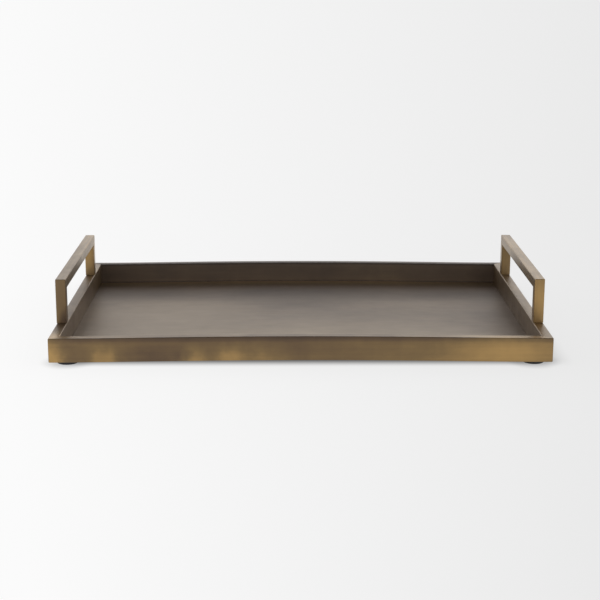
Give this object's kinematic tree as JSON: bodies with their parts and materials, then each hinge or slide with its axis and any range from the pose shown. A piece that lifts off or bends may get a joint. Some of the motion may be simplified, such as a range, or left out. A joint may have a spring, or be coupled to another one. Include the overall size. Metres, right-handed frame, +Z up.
{
  "type": "serving tray",
  "caption": "Rectangular antique brass serving tray with low straight walls, a square-edged bar handle on each short side and round rubber feet.",
  "frame": {"origin": "on the surface that the tray stands on, under the middle of the tray", "axes": "+X along the tray's length, to the right; +Y along its depth, away from the front; +Z up"},
  "size_m": [0.508, 0.356, 0.076],
  "materials": {
    "rail_brass": "antiqued brass, brushed along the rail, brown patina with worn golden patches, satin lacquer",
    "floor_brass": "antiqued brass sheet, brushed along its length, even grey-brown patina, satin lacquer",
    "handle_brass": "antiqued brass bar, brushed along the bar, brown patina with worn golden edges, satin lacquer",
    "screw_brass": "plain turned brass",
    "foot_rubber": "matt black moulded rubber",
    "foot_adhesive": "thin off-white foam tape"
  },
  "bodies": {
    "root": {"floor_panel": "floor_brass", "front_rail": "rail_brass", "back_rail": "rail_brass", "left_rail": "rail_brass", "right_rail": "rail_brass", "left_handle_grip": "handle_brass", "right_handle_grip": "handle_brass", "left_handle_front_leg": "handle_brass", "left_handle_front_screw": "screw_brass", "left_handle_back_leg": "handle_brass", "left_handle_back_screw": "screw_brass", "right_handle_front_leg": "handle_brass", "right_handle_front_screw": "screw_brass", "right_handle_back_leg": "handle_brass", "right_handle_back_screw": "screw_brass", "front_left_foot": "foot_rubber", "front_left_adhesive_disc": "foot_adhesive", "front_right_foot": "foot_rubber", "front_right_adhesive_disc": "foot_adhesive", "back_left_foot": "foot_rubber", "back_left_adhesive_disc": "foot_adhesive", "back_right_foot": "foot_rubber", "back_right_adhesive_disc": "foot_adhesive"}
  },
  "joints": []
}
